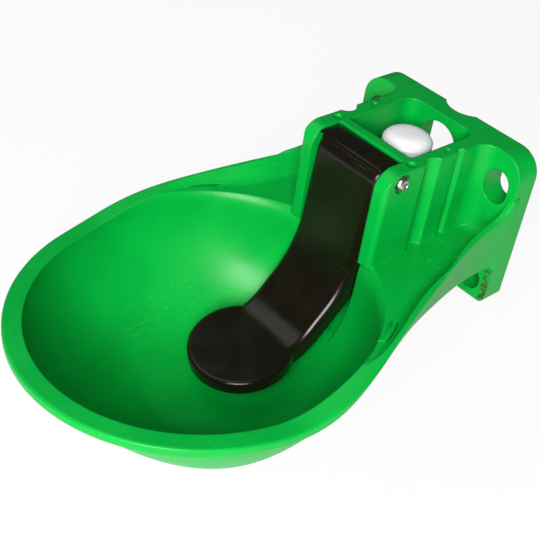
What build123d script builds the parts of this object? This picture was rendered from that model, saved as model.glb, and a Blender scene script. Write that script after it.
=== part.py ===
"""Wall-mounted livestock drinking bowl with a tongue-operated valve.

Millimetres.  +X is to the right of someone facing the wall, +Y points into the wall
and +Z is up.  The origin is midway between the two lower bolt holes, on the wall face.
"""
from build123d import *
from math import cos, radians, sin, tan
import os

os.makedirs("parts", exist_ok=True)

# Driving dimensions of the moulded bowl
wall = 4.0
bowl_width = 227.0
bowl_reach = 332.0
rim_width = 11.8
rim_height = 18.0
rim_thickness = 6.0
rim_round = 1.5
basin_depth = 78.0
basin_centre_y = -206.0
basin_rear_y = -103.0
basin_bottom_shift = 17.0
basin_rear_sweep = 62.0
basin_top_flare = 4.0
basin_top_flare_height = 17.0
basin_bottom_round = 60.0

# Wall plate
plate_width = 140.0
plate_depth = 18.0
plate_top = 100.0
plate_foot = -13.5
plate_corner = 17.0
ear_width = 26.0
ear_crotch = 8.0
plate_skin = 4.0
ear_corner = 5.0
plate_edge_round = 2.0
bolt_spacing = 108.0
bolt_hole = 17.5
bolt_boss_wall = 3.6
slot_width = 18.5
slot_height = 24.5
slot_rise = 74.0
pipe_diameter = 33.7
pipe_clearance = 0.3
pipe_seat_depth = 6.3
plate_rib = 3.6
plate_rib_spacing = 42.0

# Wings and the shelf between the plate and the basin
wing_top_at_plate = 60.0
wing_sweep_height = 50.0
wing_wall = 5.0
wing_lean = 29.5
shelf_height = 35.6
shelf_fall = 1.6
shelf_thickness = 4.5
shelf_corner = 8.0
shelf_gusset = 4.0
gusset_spacing = 96.0
gusset_front_y = -76.0

# Valve chamber and the cheeks that carry the tongue
chamber_width = 56.0
chamber_wall = 10.0
chamber_corner = 9.0
chamber_blend = 11.0
groove_depth = 4.5
partition_front = -86.2
partition_thickness = 7.0
rear_port = 30.6
rear_port_rise = 78.3
cheek_front = -109.5
cheek_corner = 13.0
throat_round = 28.0
throat_floor = -30.0
throat_shell_y = -80.0
shelf_slab_y = -160.0

groove_y = -69.0
groove_radius = 8.0
flute_y = -43.0
flute_radius = 3.4
flute_depth = 3.0
cheek_round = 3.5
partition_corner = 3.0
core_mark_x = 32.8
core_mark_depth = 1.6
cheek_mark = 6.5
cheek_mark_y = -84.0
column_mark = 4.0
column_mark_y = -50.0

# Hinge
pin_y = -95.0
pin_rise = 92.0
bolt_diameter = 6.0
bolt_head_flats = 10.0
bolt_head_height = 4.0
nut_height = 5.0
pin_recess = 13.0
pin_recess_depth = 3.2
washer_thickness = 1.2
washer_diameter = 12.0
sleeve_diameter = 8.0
sleeve_bolt_gap = 0.2
bolt_tail = 2.0

# Tongue
tongue_clearance = 0.6
tongue_skin = 4.0
tongue_side_wall = 3.2
tongue_side_depth = 12.5
tongue_edge_round = 5.0
tongue_rear_gap = 1.2
tongue_top = 97.8
tongue_top_round = 11.0
tongue_inner_round = 1.0
strap_y = -113.7
strap_lean = 4.5
knee_round = 65.0
neck_y = -126.0
neck_slope = 45.0
ankle_round = 32.0
hub_diameter = 13.2
paddle_radius = 35.0
paddle_centre_y = -175.0
paddle_height = -26.5
paddle_tilt = 10.6
paddle_thickness = 9.0
paddle_edge_round = 2.4
stem_pad_height = 2.3
stem_pad_diameter = 12.0
tongue_rib = 2.4
tongue_press_angle = 5.0

# Valve
valve_y = -49.8
valve_rise = 56.0
valve_tube = 24.0
valve_hex = 27.0
valve_foot = 11.0
inlet_bore = 18.6
inlet_depth = 16.0
valve_floor_hole = 33.0
cap_edge_height = 90.0
cap_diameter = 33.6
cap_skirt = 4.0
cap_dome = 5.5
spigot_diameter = 19.6
spigot_reach = 7.5
stem_bore = 13.0
stem_diameter = 4.0
seal_gap = 0.3
running_clearance = 0.3
gasket_thickness = 2.0
plug_gasket_thickness = 1.2
rear_branch = 16.8
top_flange = 29.0
top_flange_height = 5.0
port_bore = 18.4
port_depth = 12.0
cap_plug_gap = 1.5
passage_bore = 10.0
strainer_bore = 14.0
strainer_height = 4.0
strainer_thickness = 1.2
strainer_hole = 1.9
locknut_flats = 27.0
locknut_height = 5.0
plug_flats = 17.0
plug_head = 5.0
plug_depth = 8.0
plug_nib = 4.0
seat_place = 20.0
seat_length = 10.0
seat_bore = 7.0
seat_lip = 9.0
seat_lip_height = 0.8
seat_groove_place = 4.0
seat_ring = 1.5
guide_length = 5.0
guide_port_circle = 4.4
guide_port = 2.6
seal_diameter = 11.0
seal_thickness = 2.4
retainer_diameter = 10.0
retainer_thickness = 1.2
stem_collar = 6.0
stem_collar_height = 1.5
stem_tail = 7.0
button_diameter = 9.0
button_height = 3.0
clip_diameter = 7.4
clip_thickness = 0.8
spring_wire = 0.9
spring_inner = 8.2
spring_turns = 6
spring_seat_gap = 0.2
screw_rise = 44.0
screw_diameter = 5.0
screw_boss = 10.0
screw_boss_reach = 16.0
screw_tip_x = 3.0
screw_ring = 1.0
screw_head = 8.0
screw_head_height = 2.4
screw_slot = 1.2


def finish(piece, name):
    """Label a finished piece and write it out."""
    piece.part.label = name
    export_step(piece.part, f"parts/{name}.step")


def egg(half_width, front_reach, rear_reach, centre):
    """Plan outline from two half ellipses that share their widest points."""
    with BuildLine() as line:
        EllipticalCenterArc((0, centre), half_width, front_reach, 180, arc_size=180)
        EllipticalCenterArc((0, centre), half_width, rear_reach, 0, arc_size=180)
    return make_face(line.line, mode=Mode.PRIVATE)


# Basin outline at each share of its depth
rim_inner = bowl_width / 2 - rim_width
basin_front_reach = bowl_reach - rim_width + basin_centre_y
basin_levels = [0.0, 0.12, 0.25, 0.4, 0.55, 0.68, 0.8, 0.9, 0.97]
rim_far = -bowl_reach - wall
rim_level_y = -240.0


def basin_section(depth_share, grow):
    """Basin outline at a share of its depth, grown outwards by a wall."""
    centre = basin_centre_y - basin_bottom_shift * depth_share
    half = rim_inner * (1 - depth_share ** 1.5) ** (1 / 2.5)
    front = basin_front_reach * (1 - depth_share ** 1.2) ** (1 / 1.6)
    rear = basin_rear_y - basin_rear_sweep * depth_share ** 3.5
    return egg(half + grow, front + grow, rear - centre + grow, centre)


def basin_flare_section(grow):
    """Outline where the basin opens out above the front rim."""
    grow = grow + basin_top_flare
    rear = basin_rear_y - basin_centre_y + basin_top_flare
    return egg(rim_inner + grow, basin_front_reach + grow, rear + grow, basin_centre_y)


def rim_line():
    """Side view of the rim: level at the front, climbing to the wall plate."""
    with BuildLine(mode=Mode.PRIVATE) as line:
        Line((rim_far, rim_height), (rim_level_y, rim_height))
        Spline((rim_level_y, rim_height), (-200, 24.3), (-144, 38.2), (-58, 50.2), (-30, 55.0),
               (-plate_depth, wing_top_at_plate), tangents=[(1, 0), (1, 1.2)])
    return line.line


with BuildPart() as basin_space:
    with BuildSketch(Plane.XY.offset(rim_height + basin_top_flare_height)):
        add(basin_flare_section(0))
    for share in basin_levels:
        with BuildSketch(Plane.XY.offset(rim_height - basin_depth * share)):
            add(basin_section(share, 0))
    loft()
    fillet(basin_space.faces().sort_by(Axis.Z)[0].edges(), radius=basin_bottom_round)

with BuildPart() as under_rim:
    with BuildSketch(Plane.YZ):
        with BuildLine():
            add(rim_line())
            Polyline((-plate_depth, wing_top_at_plate), (-plate_depth, -plate_width),
                     (rim_far, -plate_width), (rim_far, rim_height))
        make_face()
    extrude(amount=plate_width, both=True)

with BuildPart() as basin_shell:
    with BuildSketch(Plane.XY.offset(rim_height + basin_top_flare_height)):
        add(basin_flare_section(wall))
    for share in basin_levels:
        with BuildSketch(Plane.XY.offset(rim_height - (basin_depth + wall) * share)):
            add(basin_section(share, wall))
    loft()
    fillet(basin_shell.faces().sort_by(Axis.Z)[0].edges(), radius=basin_bottom_round)
    add(under_rim.part, mode=Mode.INTERSECT)

# Plan outline of rim and wings
rim_outer = bowl_width / 2
rim_outer_reach = bowl_reach + basin_centre_y
plate_half = plate_width / 2
wing_waist = [(99.0, -144.0), (85.3, -102.0), (72.8, -58.0)]


def bowl_outline(inset):
    """Plan outline of rim, wings and plate, drawn in from the outer edge."""
    side = [(x - inset, y) for x, y in wing_waist]
    with BuildLine() as line:
        front = EllipticalCenterArc((0, basin_centre_y), rim_outer - inset,
                                    rim_outer_reach - inset, 270, arc_size=90)
        flank = Spline(front @ 1, *side, (plate_half - inset, -plate_depth),
                       tangents=[(0, 1), (0, 1)])
        Polyline(flank @ 1, (plate_half - inset, 0), (0, 0))
        mirror(about=Plane.YZ)
    return make_face(line.line, mode=Mode.PRIVATE)


# Space between the wings above the shelf, whose walls lean outwards
shelf_front_y = -196.0
wing_floor_points = [(99.0, -172.0), (90.0, -146.0), (71.5, -104.0), (61.5, -60.0)]
shelf_plane = Plane(origin=(0, -plate_depth, shelf_height),
                    z_dir=(0, -sin(radians(shelf_fall)), cos(radians(shelf_fall))))
shelf_underside = shelf_plane.offset(-shelf_thickness)


def wing_floor_outline(lean):
    """Plan outline of the space between the wings, leaning out with height."""
    side = [(x + lean, y) for x, y in wing_floor_points]
    with BuildLine() as line:
        flank = Spline((rim_inner + lean, shelf_front_y), *side, (60 + lean, -plate_depth),
                       tangents=[(0, 1), (0, 1)])
        Line(flank @ 1, (0, -plate_depth))
        Line(flank @ 0, (0, shelf_front_y))
        mirror(about=Plane.YZ)
    return make_face(line.line, mode=Mode.PRIVATE)


wing_space_foot = shelf_height - 10
wing_space_rise = plate_top - wing_space_foot
with BuildPart() as wing_space:
    for height in (0, wing_space_rise):
        with BuildSketch(Plane.XY.offset(wing_space_foot + height)):
            add(wing_floor_outline(height * tan(radians(wing_lean))))
    loft(ruled=True)
    split(bisect_by=shelf_plane, keep=Keep.TOP)
    floor_edges = wing_space.faces().sort_by(Axis.Z)[0].edges()
    fillet(floor_edges.filter_by(lambda e: e.center().Y > shelf_front_y + 1), radius=shelf_corner)

with BuildPart() as shelf:
    with BuildSketch(Plane.XY):
        add(bowl_outline(2 * wing_wall))
        with Locations((0, rim_far + shelf_slab_y)):
            Rectangle(4 * plate_width, -2 * rim_far, mode=Mode.SUBTRACT)
    extrude(amount=shelf_height + wall)
    split(bisect_by=shelf_underside, keep=Keep.TOP)
    add(under_rim.part, mode=Mode.INTERSECT)

with BuildPart() as shelf_pocket:
    with BuildSketch(Plane.XY):
        add(bowl_outline(wing_wall))
        with Locations((0, rim_far + throat_shell_y)):
            Rectangle(4 * plate_width, -2 * rim_far, mode=Mode.SUBTRACT)
    extrude(amount=plate_top)
    split(bisect_by=shelf_underside, keep=Keep.BOTTOM)

chamber_half = chamber_width / 2 + chamber_wall
partition_rear = partition_front + partition_thickness
pipe_radius = pipe_diameter / 2 + pipe_clearance

# Side view of the throat under the tongue, below the partition
throat_half = chamber_width / 2


def throat_profile(grow):
    """Side view of the throat: down the partition, then forward into the basin."""
    back = partition_front + grow
    floor = throat_floor - grow
    with BuildLine(mode=Mode.PRIVATE) as line:
        Line((back, plate_top), (back, floor + throat_round + grow))
        RadiusArc((back, floor + throat_round + grow), (back - throat_round - grow, floor),
                  throat_round + grow)
        Polyline((back - throat_round - grow, floor), (basin_centre_y / 1.5, floor - 5),
                 (basin_centre_y / 1.5, plate_top), (back, plate_top))
    return make_face(line.line, mode=Mode.PRIVATE)


with BuildPart() as bowl_body:
    with BuildSketch(Plane.XY.offset(-plate_width)):
        add(bowl_outline(0))
    extrude(amount=2 * plate_width)
    with BuildSketch(Plane.YZ):
        with BuildLine():
            add(rim_line())
            Polyline((-plate_depth, wing_top_at_plate), (-plate_depth, 20))
            Spline((-plate_depth, 20), (-58, 21.5), (-91, 27), (-140, 33), (-172, 28),
                   (rim_level_y, rim_height - rim_thickness), tangents=[(-1, 0), (-1, 0)])
            Polyline((rim_level_y, rim_height - rim_thickness), (rim_far, rim_height - rim_thickness),
                     (rim_far, rim_height))
        make_face()
    extrude(amount=plate_width, both=True, mode=Mode.INTERSECT)
    rim_edges = bowl_body.edges().filter_by(GeomType.BSPLINE).filter_by(lambda e: abs(e.center().X) > 60)
    fillet(rim_edges.filter_by(lambda e: e.center().Z > rim_height - 1), radius=rim_round)
    add(basin_shell.part)
    add(shelf.part)
    add(shelf_pocket.part, mode=Mode.SUBTRACT)
    with BuildSketch(Plane.YZ):
        add(throat_profile(wall))
    extrude(amount=throat_half + wall, both=True)
    add(basin_space.part, mode=Mode.SUBTRACT)
    add(wing_space.part, mode=Mode.SUBTRACT)

    # Chamber walls and cheeks, blended into the plate
    with BuildSketch(Plane.XY.offset(shelf_height - wall)) as chamber_walls:
        with Locations((0, (cheek_front - plate_depth) / 2)):
            Rectangle(chamber_half * 2, -plate_depth - cheek_front)
        with Locations((0, -plate_depth + plate_skin / 2)):
            Rectangle(plate_width - 2 * plate_corner, plate_skin)
        fillet(chamber_walls.vertices().filter_by(
            lambda v: abs(abs(v.X) - chamber_half) < 0.01 and v.Y > -plate_depth - 0.01), chamber_blend)
        fillet(chamber_walls.vertices().group_by(Axis.Y)[0], cheek_round)
        for side in (-1, 1):
            with Locations((side * (chamber_half + groove_radius - groove_depth), groove_y)):
                Circle(groove_radius, mode=Mode.SUBTRACT)
            with Locations((side * (chamber_half + flute_radius - flute_depth), flute_y)):
                Circle(flute_radius, mode=Mode.SUBTRACT)
    extrude(amount=plate_top - shelf_height + wall)

    # Wall plate with two lower ears
    with BuildSketch(Plane.XZ) as plate_face:
        with BuildLine():
            Polyline((0, plate_top), (plate_half, plate_top), (plate_half, plate_foot),
                     (plate_half - ear_width, plate_foot), (plate_half - ear_width, ear_crotch),
                     (0, ear_crotch))
            mirror(about=Plane.YZ)
        make_face()
        fillet(plate_face.vertices().group_by(Axis.Y)[-1], plate_corner)
        fillet(plate_face.vertices().group_by(Axis.Y)[0], ear_corner)
    extrude(amount=plate_depth)

    # Gussets under the shelf
    with BuildSketch(Plane.YZ):
        Polygon((-plate_depth, shelf_height - wall), (-plate_depth, ear_crotch + wall),
                (gusset_front_y, shelf_height - 2 * wall), (gusset_front_y, shelf_height - wall), align=None)
    gusset_solids = extrude(amount=shelf_gusset / 2, both=True, mode=Mode.PRIVATE)
    with Locations((-gusset_spacing / 2, 0, 0), (gusset_spacing / 2, 0, 0)):
        add(gusset_solids)

    # Hollow back of the plate, with a tube round each bolt hole and two ribs
    with BuildSketch(Plane.XZ) as hollow:
        add(offset(plate_face.sketch, amount=-wall, kind=Kind.INTERSECTION, mode=Mode.PRIVATE))
        with Locations((-bolt_spacing / 2, 0), (bolt_spacing / 2, 0)):
            Circle(bolt_hole / 2 + bolt_boss_wall, mode=Mode.SUBTRACT)
        with Locations((-bolt_spacing / 2, slot_rise), (bolt_spacing / 2, slot_rise)):
            SlotOverall(slot_height + 2 * bolt_boss_wall, slot_width + 2 * bolt_boss_wall,
                        rotation=90, mode=Mode.SUBTRACT)
        with Locations((-plate_rib_spacing / 2, 0), (plate_rib_spacing / 2, 0)):
            Rectangle(plate_rib, 3 * plate_top, mode=Mode.SUBTRACT)
    extrude(amount=plate_depth - plate_skin, mode=Mode.SUBTRACT)

    # Bolt holes, slots and rear port
    with BuildSketch(Plane.XZ):
        with Locations((-bolt_spacing / 2, 0), (bolt_spacing / 2, 0)):
            Circle(bolt_hole / 2)
        with Locations((-bolt_spacing / 2, slot_rise), (bolt_spacing / 2, slot_rise)):
            SlotOverall(slot_height, slot_width, rotation=90)
        with Locations((0, rear_port_rise)):
            Circle(rear_port / 2)
    extrude(amount=plate_depth + wall, mode=Mode.SUBTRACT)

    # Groove that lets the plate straddle an upright pipe
    with BuildSketch(Plane.XY.offset(plate_foot)):
        with Locations((0, pipe_radius - pipe_seat_depth)):
            Circle(pipe_radius)
    extrude(amount=2 * plate_top, mode=Mode.SUBTRACT)

    # Valve chamber
    with BuildSketch(Plane.XY.offset(shelf_height)) as chamber:
        with Locations((0, (partition_rear - plate_depth) / 2)):
            Rectangle(chamber_width, -plate_depth - partition_rear)
        fillet(chamber.vertices().group_by(Axis.Y)[-1], chamber_corner)
        fillet(chamber.vertices().group_by(Axis.Y)[0], partition_corner)
    extrude(amount=plate_top, mode=Mode.SUBTRACT)
    with BuildSketch(Plane.XY):
        with Locations((0, valve_y)):
            Circle(valve_floor_hole / 2)
    extrude(amount=plate_top, mode=Mode.SUBTRACT)

    # Throat behind the tongue, open to the basin
    with BuildSketch(Plane.YZ):
        add(throat_profile(0))
    extrude(amount=throat_half, both=True, mode=Mode.SUBTRACT)

    # Rounded top corners of the cheeks
    with BuildSketch(Plane.YZ):
        with Locations((cheek_front + cheek_corner / 2, plate_top - cheek_corner / 2)):
            Rectangle(cheek_corner + 0.1, cheek_corner + 0.1)
        with Locations((cheek_front + cheek_corner, plate_top - cheek_corner)):
            Circle(cheek_corner, mode=Mode.SUBTRACT)
    extrude(amount=chamber_width, both=True, mode=Mode.SUBTRACT)

    # Hinge bolt holes, their recesses and the spigot hole in the partition
    with BuildSketch(Plane.YZ):
        with Locations((pin_y, pin_rise)):
            Circle(bolt_diameter / 2 + running_clearance)
    extrude(amount=chamber_width, both=True, mode=Mode.SUBTRACT)
    for side in (-1, 1):
        with BuildSketch(Plane.YZ.offset(side * (chamber_half - pin_recess_depth))):
            with Locations((pin_y, pin_rise)):
                Circle(pin_recess / 2)
        extrude(amount=side * chamber_wall, mode=Mode.SUBTRACT)
    with BuildSketch(Plane.XZ.offset(-partition_front)):
        with Locations((0, valve_rise)):
            Circle(spigot_diameter / 2 + running_clearance)
    extrude(amount=-2 * partition_thickness, mode=Mode.SUBTRACT)

    # Round core marks in the top of the cheeks and columns
    with BuildSketch(Plane.XY.offset(plate_top - core_mark_depth)):
        for side in (-1, 1):
            with Locations((side * core_mark_x, cheek_mark_y)):
                Circle(cheek_mark / 2)
            with Locations((side * core_mark_x, column_mark_y)):
                Circle(column_mark / 2)
    extrude(amount=plate_top, mode=Mode.SUBTRACT)
finish(bowl_body, "bowl_body")

# Tongue: a channel-shaped strap that hangs from the hinge and ends in a round paddle
tongue_half = throat_half - tongue_clearance
tongue_back_y = partition_front - tongue_rear_gap
paddle_top = paddle_height - paddle_centre_y * tan(radians(paddle_tilt))


def heading(angle):
    """Unit direction in the side view, down and forward at an angle from level."""
    return (-cos(radians(angle)), -sin(radians(angle)))


def crossing(start, heading_a, target, heading_b):
    """Point where two straight runs of the side view meet."""
    cross = heading_a[0] * heading_b[1] - heading_a[1] * heading_b[0]
    along = ((target[0] - start[0]) * heading_b[1] - (target[1] - start[1]) * heading_b[0]) / cross
    return (start[0] + along * heading_a[0], start[1] + along * heading_a[1])


def tongue_line(depth):
    """Side view of the tongue's front, drawn back by a depth: top, strap, neck and paddle."""
    strap, neck, paddle = heading(90 - strap_lean), heading(neck_slope), heading(paddle_tilt)
    strap_point = (strap_y - strap[1] * depth, strap[0] * depth)
    neck_point = (neck_y - neck[1] * depth, neck[0] * depth)
    paddle_point = (-paddle[1] * depth, paddle_top + paddle[0] * depth)
    corner = crossing(strap_point, strap, (0, tongue_top - depth), (-1, 0))
    knee = crossing(strap_point, strap, neck_point, neck)
    ankle = crossing(neck_point, neck, paddle_point, paddle)
    end = crossing((paddle_centre_y, 0), (0, 1), paddle_point, paddle)
    radii = [max(tongue_top_round - depth, tongue_inner_round), knee_round - depth, ankle_round + depth]
    with BuildLine(mode=Mode.PRIVATE) as line:
        FilletPolyline((tongue_back_y, tongue_top - depth), corner, knee, ankle, end, radius=radii)
    return line.line


paddle_plane = Plane(origin=(0, paddle_centre_y, paddle_height), x_dir=(1, 0, 0),
                     z_dir=(0, -sin(radians(paddle_tilt)), cos(radians(paddle_tilt))))
stem_pad_y = strap_y + valve_rise * tan(radians(strap_lean)) + tongue_skin + stem_pad_height

with BuildPart() as strap:
    front_line, back_line = tongue_line(0), tongue_line(tongue_side_depth)
    with BuildSketch(Plane.YZ.offset(-tongue_half)):
        with BuildLine():
            add(front_line)
            add(back_line)
            Line(front_line @ 0, back_line @ 0)
            Line(front_line @ 1, back_line @ 1)
        make_face()
    extrude(amount=2 * tongue_half)
    side_edges = strap.edges().filter_by(lambda e: abs(e.center().X) > tongue_half - 0.01)
    front_edges = side_edges.filter_by(
        lambda e: front_line.distance_to(Vertex(e.center().Y, e.center().Z, 0)) < 2)
    fillet(front_edges, radius=tongue_edge_round)

with BuildPart() as paddle:
    with BuildSketch(paddle_plane):
        Circle(paddle_radius)
    extrude(amount=-paddle_thickness)
    fillet(paddle.faces().sort_by(Axis.Z)[-1].edges(), radius=paddle_edge_round)

with BuildPart() as tongue:
    add(strap.part)
    add(paddle.part)

    # Channel behind the strap, open to the rear
    channel_line, open_line = tongue_line(tongue_skin), tongue_line(tongue_side_depth + wall)
    with BuildSketch(Plane.YZ.offset(tongue_side_wall - tongue_half)):
        with BuildLine():
            add(channel_line)
            add(open_line)
            Line(channel_line @ 0, open_line @ 0)
            Line(channel_line @ 1, open_line @ 1)
        make_face()
    extrude(amount=2 * (tongue_half - tongue_side_wall), mode=Mode.SUBTRACT)
    with BuildSketch(paddle_plane.offset(-tongue_skin)) as underside:
        Circle(paddle_radius - tongue_side_wall)
        Rectangle(2 * paddle_radius, tongue_rib, mode=Mode.SUBTRACT)
        Rectangle(tongue_rib, 2 * paddle_radius, mode=Mode.SUBTRACT)
    extrude(amount=-paddle_thickness, mode=Mode.SUBTRACT)

    # Hinge tube and the pad that pushes the valve stem
    with BuildSketch(Plane.YZ.offset(-tongue_half)):
        with Locations((pin_y, pin_rise)):
            Circle(hub_diameter / 2)
    extrude(amount=2 * tongue_half)
    with BuildSketch(Plane.YZ.offset(-tongue_half)):
        with Locations((pin_y, pin_rise)):
            Circle(sleeve_diameter / 2 + running_clearance)
    extrude(amount=2 * tongue_half, mode=Mode.SUBTRACT)
    with BuildSketch(Plane.XZ.offset(-stem_pad_y)):
        with Locations((0, valve_rise)):
            Circle(stem_pad_diameter / 2)
    extrude(amount=stem_pad_height + tongue_skin / 2)
finish(tongue, "tongue")

# Hinge bolt through both cheeks, with a spacer sleeve inside the tongue
recess_floor = chamber_half - pin_recess_depth
washer_outer = recess_floor + washer_thickness
with BuildPart() as pivot_bolt:
    with BuildSketch(Plane.YZ.offset(washer_outer)):
        with Locations((pin_y, pin_rise)):
            RegularPolygon(bolt_head_flats / 2, 6, major_radius=False)
    extrude(amount=bolt_head_height)
    chamfer(pivot_bolt.faces().sort_by(Axis.X)[-1].edges(), length=0.5)
    with BuildSketch(Plane.YZ.offset(-washer_outer - nut_height - bolt_tail)):
        with Locations((pin_y, pin_rise)):
            Circle(bolt_diameter / 2)
    extrude(amount=2 * washer_outer + nut_height + bolt_tail)
    chamfer(pivot_bolt.faces().sort_by(Axis.X)[0].edges(), length=0.6)
finish(pivot_bolt, "pivot_bolt")

with BuildPart() as pivot_nut:
    with BuildSketch(Plane.YZ.offset(-washer_outer)):
        with Locations((pin_y, pin_rise)):
            RegularPolygon(bolt_head_flats / 2, 6, major_radius=False)
            Circle(bolt_diameter / 2, mode=Mode.SUBTRACT)
    extrude(amount=-nut_height * 0.75)
    with BuildSketch(Plane.YZ.offset(-washer_outer)):
        with Locations((pin_y, pin_rise)):
            Circle(bolt_head_flats / 2 - 0.3)
            Circle(bolt_diameter / 2, mode=Mode.SUBTRACT)
    extrude(amount=-nut_height)
finish(pivot_nut, "pivot_nut")

with BuildPart() as pivot_washers:
    for side in (-1, 1):
        with BuildSketch(Plane.YZ.offset(side * recess_floor)):
            with Locations((pin_y, pin_rise)):
                Circle(washer_diameter / 2)
                Circle(bolt_diameter / 2 + running_clearance, mode=Mode.SUBTRACT)
        extrude(amount=side * washer_thickness)
finish(pivot_washers, "pivot_washers")

with BuildPart() as pivot_sleeve:
    with BuildSketch(Plane.YZ.offset(-throat_half)):
        with Locations((pin_y, pin_rise)):
            Circle(sleeve_diameter / 2)
            Circle(bolt_diameter / 2 + sleeve_bolt_gap, mode=Mode.SUBTRACT)
    extrude(amount=2 * throat_half)
finish(pivot_sleeve, "pivot_sleeve")

# Brass valve body: an upright tube crossed by the bore of the stem
spigot_end = partition_front - spigot_reach
shoulder_y = partition_rear + gasket_thickness
bore_rear = valve_y + rear_branch
body_top = cap_edge_height - cap_skirt - gasket_thickness / 2
with BuildPart() as valve_body:
    with BuildSketch(Plane.XY.offset(valve_foot)):
        with Locations((0, valve_y)):
            RegularPolygon(valve_hex / 2, 6, major_radius=False)
    extrude(amount=inlet_depth)
    chamfer(valve_body.faces().sort_by(Axis.Z)[0].outer_wire().edges(), length=0.8)
    with BuildSketch(Plane.XY.offset(valve_foot + inlet_depth)):
        with Locations((0, valve_y)):
            Circle(valve_tube / 2)
    extrude(amount=body_top - valve_foot - inlet_depth)
    with BuildSketch(Plane.XY.offset(body_top)):
        with Locations((0, valve_y)):
            Circle(top_flange / 2)
    extrude(amount=-top_flange_height)
    with BuildSketch(Plane.XZ.offset(-bore_rear)):
        with Locations((0, valve_rise)):
            Circle(valve_tube / 2)
    extrude(amount=bore_rear - shoulder_y)
    with BuildSketch(Plane.XZ.offset(-shoulder_y)):
        with Locations((0, valve_rise)):
            Circle(spigot_diameter / 2)
    extrude(amount=shoulder_y - spigot_end)
    chamfer(valve_body.faces().sort_by(Axis.Y)[0].edges(), length=0.6)
    with BuildSketch(Plane.YZ.offset(valve_tube / 2 - wall)):
        with Locations((valve_y, screw_rise)):
            Circle(screw_boss / 2)
    extrude(amount=screw_boss_reach - valve_tube / 2 + wall)

    # Water ways: inlet socket, strainer seat, upright passage and top port
    for height, depth, bore in ((valve_foot, inlet_depth, inlet_bore),
                                (valve_foot + inlet_depth, strainer_height, strainer_bore),
                                (valve_foot, body_top - valve_foot, passage_bore),
                                (body_top - port_depth, port_depth, port_bore)):
        with BuildSketch(Plane.XY.offset(height)):
            with Locations((0, valve_y)):
                Circle(bore / 2)
        extrude(amount=depth, mode=Mode.SUBTRACT)
    with BuildSketch(Plane.XZ.offset(-bore_rear)):
        with Locations((0, valve_rise)):
            Circle(stem_bore / 2)
    extrude(amount=bore_rear - spigot_end, mode=Mode.SUBTRACT)
    with BuildSketch(Plane.YZ):
        with Locations((valve_y, screw_rise)):
            Circle(screw_diameter / 2)
    extrude(amount=valve_tube, mode=Mode.SUBTRACT)
finish(valve_body, "valve_body")


def ring(name, plane, outer, inner, thickness):
    """Flat ring on a plane, thickened along the plane's normal."""
    with BuildPart() as piece:
        with BuildSketch(plane):
            Circle(outer / 2)
            Circle(inner / 2, mode=Mode.SUBTRACT)
        extrude(amount=thickness)
    finish(piece, name)


def stem_plane(y):
    """Plane across the stem at a place along it, facing away from the wall."""
    return Plane(origin=(0, y, valve_rise), x_dir=(1, 0, 0), z_dir=(0, -1, 0))


def valve_plane(z):
    """Level plane on the upright axis of the valve."""
    return Plane(origin=(0, valve_y, z))


ring("spigot_gasket", stem_plane(shoulder_y), valve_tube, spigot_diameter, gasket_thickness)
ring("cap_gasket", valve_plane(body_top), top_flange, port_bore, gasket_thickness / 2)
ring("plug_gasket", stem_plane(bore_rear + plug_gasket_thickness), valve_tube, stem_bore, plug_gasket_thickness)

with BuildPart() as valve_locknut:
    with BuildSketch(stem_plane(partition_front)):
        RegularPolygon(locknut_flats / 2, 6, major_radius=False)
        Circle(spigot_diameter / 2, mode=Mode.SUBTRACT)
    extrude(amount=locknut_height)
    chamfer(valve_locknut.faces().sort_by(Axis.Y)[0].outer_wire().edges(), length=0.6)
finish(valve_locknut, "valve_locknut")

# White cap over the top port: a low skirt, a dome and a threaded plug
cap_foot = cap_edge_height - cap_skirt
with BuildPart() as valve_cap:
    with BuildSketch(Plane(origin=(0, valve_y, 0), x_dir=(1, 0, 0), z_dir=(0, -1, 0))):
        with BuildLine():
            Polyline((0, cap_edge_height + cap_dome), (0, cap_foot - port_depth + cap_plug_gap),
                     (port_bore / 2, cap_foot - port_depth + cap_plug_gap), (port_bore / 2, cap_foot),
                     (cap_diameter / 2, cap_foot), (cap_diameter / 2, cap_edge_height))
            Spline((cap_diameter / 2, cap_edge_height), (0, cap_edge_height + cap_dome),
                   tangents=[(-0.35, 1), (-1, 0)])
        make_face()
    revolve(axis=Axis((0, valve_y, 0), (0, 0, 1)))
finish(valve_cap, "valve_cap")

# Rear plug of the stem bore, with a nib that centres the spring
plug_front = bore_rear - plug_depth
with BuildPart() as rear_plug:
    with BuildSketch(stem_plane(bore_rear + plug_gasket_thickness)):
        RegularPolygon(plug_flats / 2, 6, major_radius=False)
    extrude(amount=-plug_head)
    chamfer(rear_plug.faces().sort_by(Axis.Y)[-1].edges(), length=0.6)
    with BuildSketch(stem_plane(bore_rear + plug_gasket_thickness)):
        Circle(stem_bore / 2)
    extrude(amount=plug_gasket_thickness + plug_depth)
    with BuildSketch(stem_plane(plug_front)):
        Circle(spring_inner / 2 - running_clearance)
    extrude(amount=plug_nib)
finish(rear_plug, "rear_plug")

# Seat, stem and seal
seat_rear = spigot_end + seat_place
seat_front = seat_rear - seat_length
with BuildPart() as valve_seat:
    with BuildSketch(stem_plane(seat_rear)):
        Circle(stem_bore / 2)
        Circle(seat_bore / 2, mode=Mode.SUBTRACT)
    extrude(amount=seat_length)
    with BuildSketch(stem_plane(seat_rear)):
        Circle(stem_bore / 2)
        Circle(seat_lip / 2, mode=Mode.SUBTRACT)
    extrude(amount=seat_lip_height, mode=Mode.SUBTRACT)
    with BuildSketch(stem_plane(seat_rear - seat_groove_place)):
        Circle(stem_bore)
        Circle(stem_bore / 2 - seat_ring, mode=Mode.SUBTRACT)
    extrude(amount=seat_ring, mode=Mode.SUBTRACT)
finish(valve_seat, "valve_seat")
ring("seat_seal", stem_plane(seat_rear - seat_groove_place), stem_bore, stem_bore - 2 * seat_ring, seat_ring)

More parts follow.
